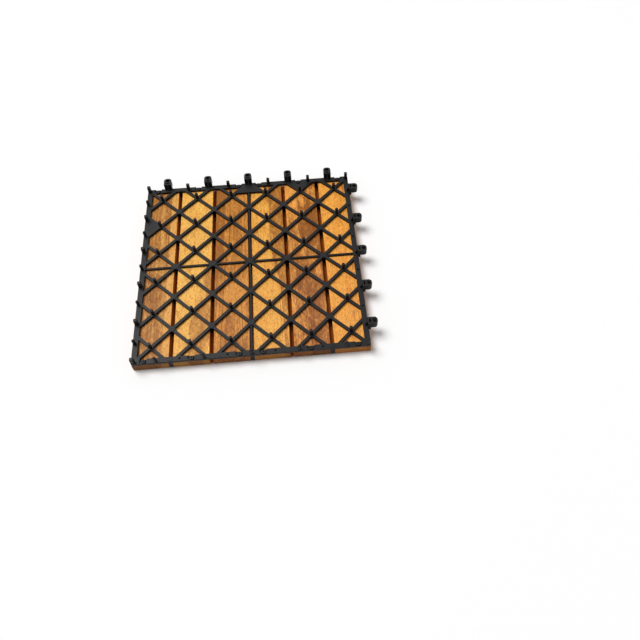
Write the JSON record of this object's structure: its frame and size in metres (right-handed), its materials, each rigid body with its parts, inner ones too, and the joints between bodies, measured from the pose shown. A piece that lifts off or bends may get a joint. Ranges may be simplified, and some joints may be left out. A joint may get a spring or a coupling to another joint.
{
  "type": "interlocking deck tile",
  "caption": "Square click-together deck tile: hardwood slats screwed to a moulded diagonal lattice base with feet, and loops and lock pins round its edge.",
  "frame": {"origin": "middle of the walking face, on the line halfway between the tile's two middle slats and halfway along them", "axes": "+Z out of the walking face's back, towards the feet; +X and +Y towards the two sides that carry loops; the slats run along Y"},
  "size_m": [0.3067, 0.3067, 0.024],
  "materials": {
    "base_plastic": "satin black",
    "slat_1_wood": "oiled",
    "slat_2_wood": "oiled",
    "slat_3_wood": "oiled",
    "slat_4_wood": "oiled",
    "slat_5_wood": "oiled",
    "slat_6_wood": "oiled",
    "screw_steel": "plain"
  },
  "bodies": {
    "root": {"base_grid": "base_plastic", "slat_1": "slat_1_wood", "slat_2": "slat_2_wood", "slat_3": "slat_3_wood", "slat_4": "slat_4_wood", "slat_5": "slat_5_wood", "slat_6": "slat_6_wood", "slat_screws": "screw_steel"}
  },
  "joints": []
}
